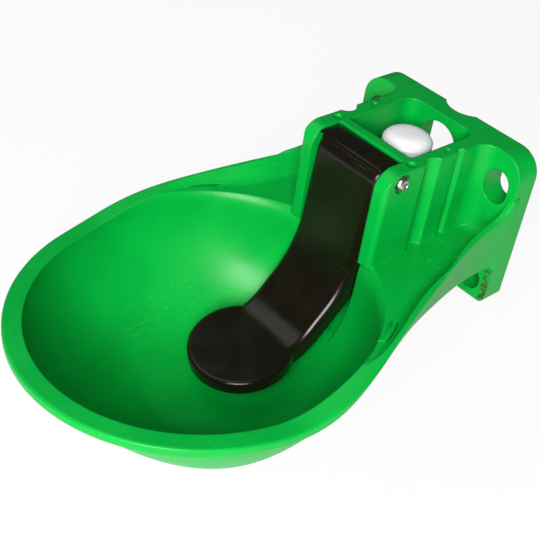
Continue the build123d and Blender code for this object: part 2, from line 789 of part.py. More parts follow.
with BuildPart() as stem_guide:
    with BuildSketch(stem_plane(spigot_end + guide_length)):
        Circle(stem_bore / 2)
        Circle(stem_diameter / 2 + running_clearance, mode=Mode.SUBTRACT)
        with PolarLocations(guide_port_circle, 4):
            Circle(guide_port / 2, mode=Mode.SUBTRACT)
    extrude(amount=guide_length)
finish(stem_guide, "stem_guide")

seal_front = seat_rear + seal_gap
stem_front = stem_pad_y + seal_gap
stem_rear = seal_front + seal_thickness + retainer_thickness + stem_tail
with BuildPart() as valve_stem:
    with BuildSketch(stem_plane(stem_rear)):
        Circle(stem_diameter / 2)
    extrude(amount=stem_rear - stem_front - button_height / 2)
    with BuildSketch(stem_plane(seal_front)):
        Circle(stem_collar / 2)
    extrude(amount=stem_collar_height)
finish(valve_stem, "valve_stem")

with BuildPart() as stem_button:
    with BuildSketch(stem_plane(stem_front + button_height)):
        Circle(button_diameter / 2)
    extrude(amount=button_height)
    fillet(stem_button.faces().sort_by(Axis.Y)[0].edges(), radius=0.8)
    with BuildSketch(stem_plane(stem_front + button_height)):
        Circle(stem_diameter / 2)
    extrude(amount=button_height / 2, mode=Mode.SUBTRACT)
finish(stem_button, "stem_button")

ring("seal_disc", stem_plane(seal_front + seal_thickness), seal_diameter, stem_diameter, seal_thickness)
retainer_rear = seal_front + seal_thickness + retainer_thickness
ring("seal_retainer", stem_plane(retainer_rear), retainer_diameter, stem_diameter, retainer_thickness)
clip_rear = retainer_rear + clip_thickness
with BuildPart() as stem_clip:
    with BuildSketch(stem_plane(clip_rear)):
        Circle(clip_diameter / 2)
        Circle(stem_diameter / 2, mode=Mode.SUBTRACT)
        with Locations((clip_diameter / 2, 0)):
            Rectangle(clip_diameter, stem_diameter * 0.7, mode=Mode.SUBTRACT)
    extrude(amount=clip_thickness)
finish(stem_clip, "stem_clip")

# Closing spring between the retainer and the rear plug
spring_radius = spring_inner / 2 + spring_wire / 2
spring_front = retainer_rear + spring_seat_gap
spring_length = plug_front - spring_front - spring_seat_gap
with BuildPart() as valve_spring:
    coil_start = spring_front + spring_wire / 2
    with BuildLine():
        coil = Helix((spring_length - spring_wire) / spring_turns, spring_length - spring_wire,
                     spring_radius, center=(0, coil_start, valve_rise), direction=(0, 1, 0))
    with BuildSketch(Plane(origin=coil @ 0, z_dir=coil % 0)):
        Circle(spring_wire / 2)
    sweep(path=coil)
finish(valve_spring, "valve_spring")

# Strainer above the inlet socket
with BuildPart() as inlet_strainer:
    with BuildSketch(valve_plane(valve_foot + inlet_depth)):
        Circle(strainer_bore / 2)
        for circle_radius, count in ((strainer_bore * 0.17, 5), (strainer_bore * 0.35, 10)):
            with PolarLocations(circle_radius, count):
                Circle(strainer_hole / 2, mode=Mode.SUBTRACT)
    extrude(amount=strainer_thickness)
    with BuildSketch(valve_plane(valve_foot + inlet_depth)):
        Circle(strainer_bore / 2)
        Circle(strainer_bore / 2 - strainer_thickness, mode=Mode.SUBTRACT)
    extrude(amount=strainer_height)
finish(inlet_strainer, "inlet_strainer")

# Flow-regulating screw in the side of the upright tube
def screw_plane(x):
    """Plane across the regulating screw at a place along it."""
    return Plane(origin=(x, valve_y, screw_rise), x_dir=(0, 1, 0), z_dir=(1, 0, 0))


with BuildPart() as regulating_screw:
    with BuildSketch(screw_plane(screw_tip_x)):
        Circle(screw_diameter / 2)
    extrude(amount=screw_boss_reach - screw_tip_x)
    with BuildSketch(screw_plane(screw_boss_reach + screw_ring)):
        Circle(screw_head / 2)
    extrude(amount=screw_head_height)
    with BuildSketch(screw_plane(screw_boss_reach)):
        Circle(screw_diameter / 2)
    extrude(amount=screw_ring)
    with BuildSketch(screw_plane(screw_boss_reach + screw_ring + screw_head_height)):
        Rectangle(screw_slot, 2 * screw_head)
    extrude(amount=-screw_head_height / 2, mode=Mode.SUBTRACT)
finish(regulating_screw, "regulating_screw")
ring("screw_seal", screw_plane(screw_boss_reach), screw_head, screw_diameter, screw_ring)
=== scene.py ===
"""Looks for a wall-mounted livestock drinking bowl, dressed over its measured frame."""
from math import cos, pi, radians, sin

import bpy
from bpy.props import FloatProperty, FloatVectorProperty, PointerProperty
from mathutils import Matrix, Vector


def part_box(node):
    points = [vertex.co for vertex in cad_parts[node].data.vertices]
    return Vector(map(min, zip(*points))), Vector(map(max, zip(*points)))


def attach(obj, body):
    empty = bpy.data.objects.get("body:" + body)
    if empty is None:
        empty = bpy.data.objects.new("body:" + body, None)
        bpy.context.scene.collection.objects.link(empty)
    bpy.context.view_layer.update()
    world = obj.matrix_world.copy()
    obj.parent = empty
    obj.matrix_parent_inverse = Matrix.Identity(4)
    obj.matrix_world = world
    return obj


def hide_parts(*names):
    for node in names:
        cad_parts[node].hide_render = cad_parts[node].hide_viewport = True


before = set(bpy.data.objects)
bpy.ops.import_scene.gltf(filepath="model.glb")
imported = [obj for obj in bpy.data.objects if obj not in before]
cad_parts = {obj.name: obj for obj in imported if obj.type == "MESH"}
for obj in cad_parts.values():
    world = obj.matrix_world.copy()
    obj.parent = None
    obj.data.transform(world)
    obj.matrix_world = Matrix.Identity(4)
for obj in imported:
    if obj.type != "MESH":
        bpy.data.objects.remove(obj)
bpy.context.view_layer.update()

bl_info = {
    "name": "Livestock Drinking Bowl",
    "version": (1, 0, 0),
    "blender": (4, 5, 0),
    "location": "3D View > Sidebar > Drinking Bowl",
    "description": "Dresses the frame of a drinking bowl with its mouldings, metals, seals and studio",
    "category": "Object",
}

BOWL_NODES = ("bowl_body",)
TONGUE_NODES = ("tongue",)
CAP_NODES = ("valve_cap",)
STEEL_NODES = ("pivot_bolt", "pivot_nut", "pivot_washers", "valve_stem", "seal_retainer",
               "stem_clip", "valve_spring", "inlet_strainer")
BRASS_NODES = ("valve_body", "valve_locknut", "rear_plug", "regulating_screw")
NYLON_NODES = ("pivot_sleeve", "valve_seat", "stem_guide", "stem_button")
RUBBER_NODES = ("spigot_gasket", "cap_gasket", "plug_gasket", "seat_seal", "seal_disc", "screw_seal")

CAMERA_PLACE = (0.3766, -0.5533, 0.4406)
CAMERA_AZIMUTH = radians(43.64)
CAMERA_ELEVATION = radians(37.18)
CAMERA_ROLL = radians(9.13)
FOCAL_LENGTH = 72.73
SENSOR_WIDTH = 36.0
CLIP_END = 20.0

FLOOR_SIZE = 6.0
KEY_PLACE = (0.80, -1.20, 0.78)
KEY_SIZE = 0.75
FILL_PLACE = (-0.55, -0.35, 1.2)
FILL_SIZE = 0.8
LAMP_TARGET = (0.0, -0.15, 0.02)

# Skins: depth and strength of the relief, rounding of edges, and what wear adds to roughness
MOULD_RELIEF = {"strength": 0.25, "distance": 0.0004}
MACHINED_RELIEF = {"strength": 0.2, "distance": 0.0001}
MOULD_GRAIN_SHARE = 0.12
BOWL_EDGE_ROUND = 0.0016
TONGUE_EDGE_ROUND = 0.0014
EDGE_SAMPLES = 8
WEAR_ROUGHENS = 0.35

# Scratches run two ways; each set of strokes has its tilt and its stretch
SCRATCH_STROKES = (((0.2, 0.1, 0.5), (1.0, 14.0, 9.0)), ((0.9, 0.4, -0.7), (11.0, 1.0, 12.0)))

# Dark brown patch on the right-hand ear's front: axis, where it starts and where it is full
EAR_PATCH_COLOUR = (0.045, 0.018, 0.010)
EAR_PATCH_AMOUNT = 0.85
EAR_PATCH_EDGES = (("X", 0.0635, 0.0660), ("Y", -0.0165, -0.0178), ("Y", -0.0200, -0.0186),
               ("Z", -0.0135, -0.0100), ("Z", 0.0190, 0.0130))

# Faces are picked by how squarely they face a way, and by place to within a hair
FACING = 0.7
HAIR = 1e-5
SMOOTH_ANGLE = radians(35)

# Hinge bolt; head steps are shares of the head's height with the width that each leaves
BOLT_SIDES = 48
BOLT_HEAD_STEPS = ((0.45, 1.0), (0.35, 0.86), (0.2, 0.72))
BOLT_RIM_SHARE = 0.12
BOLT_SOCKET_STEPS = (0.12, 0.45)
BOLT_SOCKET_TAPER = 0.95
BOLT_TIP_RIM_SHARE = 0.3
BOLT_TIP_DISH_SHARE = 0.1
BOLT_TIP_TAPER = 0.8
BOLT_EDGE = 0.00035

# Webs in the bend between each wing and the basin, given for the right-hand one
WEB_PLACE = (0.0890, -0.1395, 0.03170)
WEB_SIZE = (0.0090, 0.0185, 0.0014)
WEB_TURN = radians(25)
WEB_END_STEP = (0.0012, 0.0035)
WEB_END_TAPER = (0.55, 1.0, 0.8)
WEB_EDGE = 0.0003

# Rising wing tops: steps give the place along the wing, height of the top and width. A probe from
# the side finds the wing's outer face, and the rise stands proud of it and leans in to its foot.
RISE_STEPS = ((-0.0180, 0.0720, 0.0046), (-0.0196, 0.0672, 0.0046), (-0.0222, 0.0632, 0.0046),
              (-0.0262, 0.0604, 0.0045), (-0.0320, 0.0583, 0.0044), (-0.0400, 0.0564, 0.0042),
              (-0.0500, 0.0543, 0.0038), (-0.0600, 0.0522, 0.0033), (-0.0700, 0.0500, 0.0026),
              (-0.0800, 0.0478, 0.0018), (-0.0880, 0.0456, 0.0010))
RISE_FOOT = 0.0345
RISE_ROOT = 0.0060
RISE_SPREAD = 2.1
RISE_PROUD = 0.0007
RISE_LEAN = 0.0009
RISE_FRONT_FACING = 0.3
PROBE_START = 0.2
PROBE_SHIFT = 1e-4
PROBE_HEIGHT = 0.0400

# Crown over the tongue's hinge tube; its front runs out thinner in steps
CROWN_TOP = 0.0987
CROWN_FRONT = -0.1030
CROWN_REAR_GAP = 0.0002
CROWN_HALF_WIDTH = 0.0273
CROWN_RUN_OUT = 0.0022
CROWN_RUN_OUT_STEPS = (0.6, 0.3)
CROWN_EDGE = 0.0003


# Shader node groups shared by the finishes
def new_group(name, inputs, outputs):
    """Empty shader group with named float sockets and their defaults."""
    group = bpy.data.node_groups.new(name, "ShaderNodeTree")
    for title, default in inputs:
        socket = group.interface.new_socket(title, in_out="INPUT", socket_type="NodeSocketFloat")
        socket.default_value = default
    for title in outputs:
        group.interface.new_socket(title, in_out="OUTPUT", socket_type="NodeSocketFloat")
    return group, group.nodes.new("NodeGroupInput"), group.nodes.new("NodeGroupOutput")


def math_node(tree, operation, first, second, clamp=False):
    """Math node whose inputs are sockets or plain numbers; returns its output."""
    node = tree.nodes.new("ShaderNodeMath")
    node.operation = operation
    node.use_clamp = clamp
    for socket, value in zip(node.inputs, (first, second)):
        if isinstance(value, bpy.types.NodeSocket):
            tree.links.new(value, socket)
        else:
            socket.default_value = value
    return node.outputs[0]


def noise_node(tree, scale, detail, rough=0.5, stretch=(1.0, 1.0, 1.0), tilt=(0.0, 0.0, 0.0)):
    """Noise on object coordinates, optionally stretched; returns its value."""
    place = tree.nodes.new("ShaderNodeTexCoord")
    mapping = tree.nodes.new("ShaderNodeMapping")
    mapping.inputs["Scale"].default_value = stretch
    mapping.inputs["Rotation"].default_value = tilt
    noise = tree.nodes.new("ShaderNodeTexNoise")
    noise.inputs["Detail"].default_value = detail
    noise.inputs["Roughness"].default_value = rough
    tree.links.new(place.outputs["Object"], mapping.inputs["Vector"])
    tree.links.new(mapping.outputs["Vector"], noise.inputs["Vector"])
    if isinstance(scale, bpy.types.NodeSocket):
        tree.links.new(scale, noise.inputs["Scale"])
    else:
        noise.inputs["Scale"].default_value = scale
    return noise.outputs["Fac"]


def range_node(tree, value, low, high, to_low=0.0, to_high=1.0):
    """Smooth remap of a value from one range to another; returns its output."""
    node = tree.nodes.new("ShaderNodeMapRange")
    node.interpolation_type = "SMOOTHSTEP"
    node.inputs["From Min"].default_value = low
    node.inputs["From Max"].default_value = high
    node.inputs["To Min"].default_value = to_low
    node.inputs["To Max"].default_value = to_high
    tree.links.new(value, node.inputs["Value"])
    return node.outputs["Result"]


def build_mould_skin():
    """Slow waviness and fine grain that a mould leaves on a plastic skin."""
    group, inputs, outputs = new_group("Mould skin", [("Wave Scale", 40.0), ("Grain Scale", 1500.0),
                                                      ("Grain Share", 0.3)], ["Height", "Drift"])
    wave = noise_node(group, inputs.outputs["Wave Scale"], detail=1.0)
    grain = noise_node(group, inputs.outputs["Grain Scale"], detail=2.0)
    grain_part = math_node(group, "MULTIPLY", grain, inputs.outputs["Grain Share"])
    height = math_node(group, "ADD", wave, grain_part)
    group.links.new(height, outputs.inputs["Height"])
    drift = range_node(group, wave, 0.35, 0.65)
    group.links.new(drift, outputs.inputs["Drift"])
    return group


def build_handling_marks():
    """Thin short scratches in two directions, only where a slower noise lets them show."""
    group, inputs, outputs = new_group("Handling marks", [("Scale", 60.0), ("Amount", 0.5)], ["Mask"])
    strokes = []
    for tilt, stretch in SCRATCH_STROKES:
        line = noise_node(group, inputs.outputs["Scale"], detail=1.0, stretch=stretch, tilt=tilt)
        strokes.append(range_node(group, line, 0.69, 0.76))
    both = math_node(group, "MAXIMUM", strokes[0], strokes[1])
    patch = range_node(group, noise_node(group, 18.0, detail=2.0), 0.5, 0.68)
    mask = math_node(group, "MULTIPLY", both, patch)
    shown = math_node(group, "MULTIPLY", mask, inputs.outputs["Amount"], clamp=True)
    group.links.new(shown, outputs.inputs["Mask"])
    return group


def build_settled_dust():
    """Mask of fine dust: more of it on faces that look up, broken by noise."""
    group, inputs, outputs = new_group("Settled dust", [("Scale", 220.0), ("Amount", 0.3)], ["Mask"])
    facing = group.nodes.new("ShaderNodeNewGeometry")
    split = group.nodes.new("ShaderNodeSeparateXYZ")
    group.links.new(facing.outputs["Normal"], split.inputs["Vector"])
    upward = range_node(group, split.outputs["Z"], 0.2, 1.0)
    speck = range_node(group, noise_node(group, inputs.outputs["Scale"], detail=4.0, rough=0.65), 0.55, 0.8)
    dusty = math_node(group, "MULTIPLY", upward, speck)
    shown = math_node(group, "MULTIPLY", dusty, inputs.outputs["Amount"], clamp=True)
    group.links.new(shown, outputs.inputs["Mask"])
    return group


def build_ear_patch():
    """Mask of a dark brown patch on the front of the right-hand ear, broken up by noise."""
    group, inputs, outputs = new_group("Ear patch", [("Amount", 0.8)], ["Mask"])
    place = group.nodes.new("ShaderNodeTexCoord")
    split = group.nodes.new("ShaderNodeSeparateXYZ")
    group.links.new(place.outputs["Object"], split.inputs["Vector"])
    mask = inputs.outputs["Amount"]
    for axis, start, full in EAR_PATCH_EDGES:
        inside = range_node(group, split.outputs[axis], start, full)
        mask = math_node(group, "MULTIPLY", mask, inside)
    blot = range_node(group, noise_node(group, 230.0, detail=4.0, rough=0.6), 0.40, 0.58)
    shown = math_node(group, "MULTIPLY", mask, blot, clamp=True)
    group.links.new(shown, outputs.inputs["Mask"])
    return group


def build_machining():
    """Tool marks round an axis, with slower tarnish."""
    group, inputs, outputs = new_group("Machining", [("Line Scale", 900.0), ("Tarnish Scale", 60.0)],
                                       ["Lines", "Tarnish"])
    lines = noise_node(group, inputs.outputs["Line Scale"], detail=1.0, stretch=(0.04, 0.04, 1.0))
    group.links.new(lines, outputs.inputs["Lines"])
    tarnish = range_node(group, noise_node(group, inputs.outputs["Tarnish Scale"], detail=4.0), 0.42, 0.7)
    group.links.new(tarnish, outputs.inputs["Tarnish"])
    return group


def place_group(material, group, **values):
    """Puts a shared group into a material with its own values."""
    node = material.node_tree.nodes.new("ShaderNodeGroup")
    node.node_tree = group
    for title, value in values.items():
        node.inputs[title.replace("_", " ")].default_value = value
    return node


def mix_colour(tree, factor, first, second):
    """Mixes two colours or colour sockets by a mask; returns the colour."""
    node = tree.nodes.new("ShaderNodeMix")
    node.data_type = "RGBA"
    tree.links.new(factor, node.inputs["Factor"])
    for socket, value in ((node.inputs["A"], first), (node.inputs["B"], second)):
        if isinstance(value, bpy.types.NodeSocket):
            tree.links.new(value, socket)
        else:
            socket.default_value = (*value, 1.0)
    return node.outputs["Result"]


def new_finish(name, **shader_values):
    """Material with a Principled shader whose constants sit on its own sockets."""
    material = bpy.data.materials.new(name)
    material.use_nodes = True
    shader = material.node_tree.nodes["Principled BSDF"]
    for title, value in shader_values.items():
        shader.inputs[title.replace("_", " ")].default_value = value
    return material, shader


def bump(material, shader, height, strength, distance, edge_round=0.0):
    """Feeds a height through a Bump node into the shader's normal, over softly rounded edges."""
    tree = material.node_tree
    node = tree.nodes.new("ShaderNodeBump")
    if edge_round:
        edges = tree.nodes.new("ShaderNodeBevel")
        edges.samples = EDGE_SAMPLES
        edges.inputs["Radius"].default_value = edge_round
        tree.links.new(edges.outputs["Normal"], node.inputs["Normal"])
    node.inputs["Strength"].default_value = strength
    node.inputs["Distance"].default_value = distance
    tree.links.new(height, node.inputs["Height"])
    tree.links.new(node.outputs["Normal"], shader.inputs["Normal"])


def dress(names, material):
    """Gives a material to CAD nodes or pieces by name."""
    for name in names:
        piece = bpy.data.objects.get(name)
        if piece is None:
            raise RuntimeError(f"no piece is named {name}")
        piece.data.materials.clear()
        piece.data.materials.append(material)


def shared_group(name, builder):
    """The named shader group, built on first use."""
    return bpy.data.node_groups.get(name) or builder()


def plastic_finish(name, colour, light_colour, mark_colour, roughness, wave, grain, marks, dust,
                   gloss=0.5, edge_round=0.0, with_ear_patch=False):
    """Moulded plastic: tone drift, scratches, dust, soft edges and a faint mould skin."""
    material, shader = new_finish(name, IOR=1.5, Specular_IOR_Level=gloss)
    tree = material.node_tree
    skin = place_group(material, shared_group("Mould skin", build_mould_skin),
                       Wave_Scale=wave, Grain_Scale=grain, Grain_Share=MOULD_GRAIN_SHARE)
    scratch = place_group(material, shared_group("Handling marks", build_handling_marks), Amount=marks)
    settled = place_group(material, shared_group("Settled dust", build_settled_dust), Amount=dust)
    base = mix_colour(tree, skin.outputs["Drift"], colour, light_colour)
    marked = mix_colour(tree, scratch.outputs["Mask"], base, mark_colour)
    dusted = mix_colour(tree, settled.outputs["Mask"], marked, mark_colour)
    if with_ear_patch:
        # Dark brown patch on the right-hand ear's front corner, mixed over the colour
        ear_patch_node = place_group(material, shared_group("Ear patch", build_ear_patch), Amount=EAR_PATCH_AMOUNT)
        dusted = mix_colour(tree, ear_patch_node.outputs["Mask"], dusted, EAR_PATCH_COLOUR)
    tree.links.new(dusted, shader.inputs["Base Color"])
    marks_and_dust = math_node(tree, "ADD", scratch.outputs["Mask"], settled.outputs["Mask"])
    worn = math_node(tree, "MULTIPLY", marks_and_dust, WEAR_ROUGHENS)
    drifted = range_node(tree, skin.outputs["Drift"], 0.0, 1.0, roughness - 0.02, roughness + 0.03)
    tree.links.new(math_node(tree, "ADD", drifted, worn, clamp=True), shader.inputs["Roughness"])
    bump(material, shader, skin.outputs["Height"], edge_round=edge_round, **MOULD_RELIEF)
    return material


def metal_finish(name, colour, tarnish_colour, roughness, line_scale):
    """Metal with tool marks and a little tarnish."""
    material, shader = new_finish(name, Metallic=1.0)
    tree = material.node_tree
    marks = place_group(material, shared_group("Machining", build_machining), Line_Scale=line_scale)
    base = mix_colour(tree, marks.outputs["Tarnish"], colour, tarnish_colour)
    tree.links.new(base, shader.inputs["Base Color"])
    rough = range_node(tree, marks.outputs["Lines"], 0.3, 0.7, roughness - 0.06, roughness + 0.1)
    tree.links.new(rough, shader.inputs["Roughness"])
    bump(material, shader, marks.outputs["Lines"], **MACHINED_RELIEF)
    return material


def start_piece(name, add, **shape):
    """Adds a starting form for a piece and goes into edit mode with face selection."""
    if bpy.context.mode != "OBJECT":
        bpy.ops.object.mode_set(mode="OBJECT")
    bpy.ops.object.select_all(action="DESELECT")
    add(**shape)
    piece = bpy.context.active_object
    piece.name = name
    bpy.ops.object.transform_apply(location=True, rotation=True, scale=True)
    bpy.ops.object.mode_set(mode="EDIT")
    bpy.ops.mesh.select_mode(type="FACE")
    bpy.ops.mesh.select_all(action="DESELECT")
    return piece


def pick_faces(piece, test):
    """Selects the faces whose centre passes a test, in edit mode."""
    bpy.ops.mesh.select_all(action="DESELECT")
    bpy.ops.object.mode_set(mode="OBJECT")
    count = 0
    for face in piece.data.polygons:
        face.select = bool(test(face))
        count += face.select
    bpy.ops.object.mode_set(mode="EDIT")
    if not count:
        raise RuntimeError(f"no face of {piece.name} was picked")


def step_out(offset, scale, centre):
    """Extrudes the picked faces by an offset and scales them about a centre."""
    bpy.ops.mesh.extrude_region_move(TRANSFORM_OT_translate={"value": offset})
    bpy.ops.transform.resize(value=scale, center_override=centre)


def end_piece(piece, body, bevel_width, segments):
    """Leaves edit mode, bevels and smooths the piece and ties it to a CAD body."""
    bpy.ops.mesh.select_all(action="SELECT")
    bpy.ops.mesh.normals_make_consistent(inside=False)
    bpy.ops.object.mode_set(mode="OBJECT")
    edge = piece.modifiers.new("Soft edges", "BEVEL")
    edge.width = bevel_width
    edge.segments = segments
    edge.limit_method = "ANGLE"
    edge.angle_limit = SMOOTH_ANGLE
    bpy.ops.object.modifier_apply(modifier=edge.name)
    bpy.ops.object.shade_smooth_by_angle(angle=SMOOTH_ANGLE)
    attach(piece, body)


class BowlFinish(bpy.types.PropertyGroup):
    """Colours and gloss of the bowl's pieces."""
    bowl_colour: FloatVectorProperty(name="Bowl colour", description="Green of the moulded bowl",
                                     subtype="COLOR", min=0.0, max=1.0, default=(0.0004, 0.36, 0.040))
    tongue_colour: FloatVectorProperty(name="Tongue colour", description="Dark brown-black of the tongue",
                                       subtype="COLOR", min=0.0, max=1.0, default=(0.0056, 0.0047, 0.0022))
    cap_colour: FloatVectorProperty(name="Cap colour", description="White of the valve's cap",
                                    subtype="COLOR", min=0.0, max=1.0, default=(0.90, 0.91, 0.92))
    bowl_roughness: FloatProperty(name="Bowl roughness", description="How softly the bowl reflects",
                                  subtype="FACTOR", min=0.0, max=1.0, default=0.33)
    tongue_roughness: FloatProperty(name="Tongue roughness", description="How softly the tongue reflects",
                                    subtype="FACTOR", min=0.0, max=1.0, default=0.2)
    marks: FloatProperty(name="Handling marks", description="How strongly scratches show",
                         subtype="FACTOR", min=0.0, max=1.0, default=0.3)


class BowlFittings(bpy.types.PropertyGroup):
    """Sizes of the pieces that are modelled over the frame."""
    bolt_shank_radius: FloatProperty(name="Bolt shank radius", description="Radius of the hinge bolt's shank",
                                     subtype="DISTANCE", unit="LENGTH", precision=5, min=0.001, default=0.003)
    bolt_head_radius: FloatProperty(name="Bolt head radius", description="Radius of the hinge bolt's head",
                                    subtype="DISTANCE", unit="LENGTH", precision=5, min=0.001, default=0.0052)
    bolt_head_height: FloatProperty(name="Bolt head height", description="Height of the hinge bolt's head",
                                    subtype="DISTANCE", unit="LENGTH", precision=5, min=0.001, default=0.004)
    crown_thickness: FloatProperty(name="Crown thickness", description="Thickness of the tongue's crown",
                                   subtype="DISTANCE", unit="LENGTH", precision=5, min=0.0005, default=0.001)
    wing_top_round: FloatProperty(name="Wing top rounding", description="Rounding of the rising wing tops",
                                  subtype="DISTANCE", unit="LENGTH", precision=5, min=0.0, default=0.0013)


class BowlStudio(bpy.types.PropertyGroup):
    """Lamps and floor of the studio."""
    key_power: FloatProperty(name="Key lamp", description="Power of the large lamp at the front right",
                             subtype="POWER", unit="POWER", min=0.0, default=37.0)
    fill_power: FloatProperty(name="Fill lamp", description="Power of the lamp above",
                              subtype="POWER", unit="POWER", min=0.0, default=2.6)
    room_light: FloatProperty(name="Room light", description="Strength of the light from all round",
                              subtype="FACTOR", min=0.0, max=2.0, default=0.07)
    floor_colour: FloatVectorProperty(name="Floor colour", description="Colour of the plain floor",
                                      subtype="COLOR", min=0.0, max=1.0, default=(0.95, 0.95, 0.95))
    floor_glow: FloatProperty(name="Floor glow",
                              description="Share of white that the camera sees in the floor",
                              subtype="FACTOR", min=0.0, max=1.0, default=0.9)
    floor_height: FloatProperty(name="Floor height", description="Height of the floor under the basin",
                                subtype="DISTANCE", unit="LENGTH", default=-0.0662)


class BOWL_OT_dress_mouldings(bpy.types.Operator):
    """Gives the green bowl, the dark tongue and the white cap their moulded finishes"""
    bl_idname = "bowl.dress_mouldings"
    bl_label = "Dress the mouldings"

    def execute(self, context):
        finish = context.scene.bowl_finish
        green = tuple(finish.bowl_colour)
        look = dict(colour=green, light_colour=tuple(c * 1.08 for c in green),
                    mark_colour=(0.10, 0.55, 0.20), roughness=finish.bowl_roughness,
                    wave=30.0, grain=1800.0, marks=finish.marks, dust=0.12, gloss=0.22)
        # The bowl carries the dark brown patch on the right-hand ear's front corner
        bowl = plastic_finish("Green polymer", edge_round=BOWL_EDGE_ROUND, with_ear_patch=True, **look)
        dress(BOWL_NODES, bowl)
        plastic_finish("Green polymer web", **look)
        dark = tuple(finish.tongue_colour)
        tongue = plastic_finish("Dark polymer", colour=dark, light_colour=tuple(c * 1.25 for c in dark),
                                mark_colour=(0.10, 0.09, 0.08), roughness=finish.tongue_roughness,
                                wave=45.0, grain=2200.0, marks=finish.marks * 0.5, dust=0.05,
                                gloss=0.3, edge_round=TONGUE_EDGE_ROUND)
        dress(TONGUE_NODES, tongue)
        white = tuple(finish.cap_colour)
        cap = plastic_finish("White polymer", colour=white, light_colour=tuple(c * 0.97 for c in white),
                             mark_colour=(0.6, 0.6, 0.58), roughness=0.32,
                             wave=60.0, grain=2500.0, marks=0.15, dust=0.05)
        dress(CAP_NODES, cap)
        return {"FINISHED"}


class BOWL_OT_dress_metals(bpy.types.Operator):
    """Gives the stainless and brass pieces their machined finishes"""
    bl_idname = "bowl.dress_metals"
    bl_label = "Dress the metals"

    def execute(self, context):
        steel = metal_finish("Stainless steel", colour=(0.62, 0.62, 0.60), tarnish_colour=(0.45, 0.44, 0.42),
                             roughness=0.26, line_scale=1400.0)
        dress(STEEL_NODES, steel)
        brass = metal_finish("Machined brass", colour=(0.80, 0.58, 0.26), tarnish_colour=(0.52, 0.37, 0.18),
                             roughness=0.28, line_scale=1100.0)
        dress(BRASS_NODES, brass)
        return {"FINISHED"}


class BOWL_OT_dress_soft_fittings(bpy.types.Operator):
    """Gives the nylon sleeve and seats and the rubber seals their finishes"""
    bl_idname = "bowl.dress_soft_fittings"
    bl_label = "Dress nylon and rubber"

    def execute(self, context):
        nylon = plastic_finish("Natural nylon", colour=(0.72, 0.70, 0.62), light_colour=(0.76, 0.74, 0.66),
                               mark_colour=(0.5, 0.49, 0.45), roughness=0.45,
                               wave=80.0, grain=2500.0, marks=0.2, dust=0.1)
        dress(NYLON_NODES, nylon)
        rubber = plastic_finish("Black rubber", colour=(0.02, 0.02, 0.021), light_colour=(0.03, 0.03, 0.03),
                                mark_colour=(0.12, 0.12, 0.12), roughness=0.62,
                                wave=90.0, grain=1200.0, marks=0.2, dust=0.3)
        dress(RUBBER_NODES, rubber)
        return {"FINISHED"}


class BOWL_OT_model_pivot_bolt(bpy.types.Operator):
    """Models the hinge bolt with its low round head, socket and worn tip"""
    bl_idname = "bowl.model_pivot_bolt"
    bl_label = "Model the hinge bolt"

    def execute(self, context):
        sizes = context.scene.bowl_fittings
        shank, head, height = sizes.bolt_shank_radius, sizes.bolt_head_radius, sizes.bolt_head_height
        low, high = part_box("pivot_bolt")
        y, z = (low.y + high.y) / 2, (low.z + high.z) / 2
        shank_end = high.x - height
        piece = start_piece("hinge_bolt", bpy.ops.mesh.primitive_cylinder_add, vertices=BOLT_SIDES,
                            radius=shank, depth=shank_end - low.x,
                            location=((shank_end + low.x) / 2, y, z), rotation=(0.0, pi / 2, 0.0))
        pick_faces(piece, lambda face: face.center.x > shank_end - HAIR)
        step_out((0.0, 0.0, 0.0), (1.0, head / shank, head / shank), (shank_end, y, z))
        for share, width in BOLT_HEAD_STEPS:
            step_out((height * share, 0.0, 0.0), (1.0, width, width), (shank_end, y, z))
        bpy.ops.mesh.inset(thickness=head * BOLT_RIM_SHARE)
        for share in BOLT_SOCKET_STEPS:
            step_out((-height * share, 0.0, 0.0), (1.0, BOLT_SOCKET_TAPER, BOLT_SOCKET_TAPER),
                     (shank_end, y, z))
        pick_faces(piece, lambda face: face.center.x < low.x + HAIR)
        bpy.ops.mesh.inset(thickness=shank * BOLT_TIP_RIM_SHARE)
        step_out((shank * BOLT_TIP_DISH_SHARE, 0.0, 0.0), (1.0, BOLT_TIP_TAPER, BOLT_TIP_TAPER),
                 (low.x, y, z))
        end_piece(piece, "base", BOLT_EDGE, segments=2)
        dress(("hinge_bolt",), bpy.data.materials["Stainless steel"])
        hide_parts("pivot_bolt")
        return {"FINISHED"}


class BOWL_OT_model_tongue_crown(bpy.types.Operator):
    """Models the smooth crown that runs over the tongue's hinge tube"""
    bl_idname = "bowl.model_tongue_crown"
    bl_label = "Model the tongue's crown"

    def execute(self, context):
        thickness = context.scene.bowl_fittings.crown_thickness
        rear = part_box("tongue")[1].y - CROWN_REAR_GAP
        place = (0.0, (rear + CROWN_FRONT) / 2, CROWN_TOP - thickness / 2)
        piece = start_piece("tongue_crown", bpy.ops.mesh.primitive_cube_add, size=1.0, location=place,
                            scale=(2 * CROWN_HALF_WIDTH, rear - CROWN_FRONT, thickness))
        pick_faces(piece, lambda face: face.normal.y < -FACING)
        foot = (0.0, CROWN_FRONT, CROWN_TOP - thickness)
        for thinning in CROWN_RUN_OUT_STEPS:
            step_out((0.0, -CROWN_RUN_OUT / len(CROWN_RUN_OUT_STEPS), 0.0), (1.0, 1.0, thinning), foot)
        end_piece(piece, "tongue_body", CROWN_EDGE, segments=3)
        dress(("tongue_crown",), bpy.data.materials["Dark polymer"])
        return {"FINISHED"}


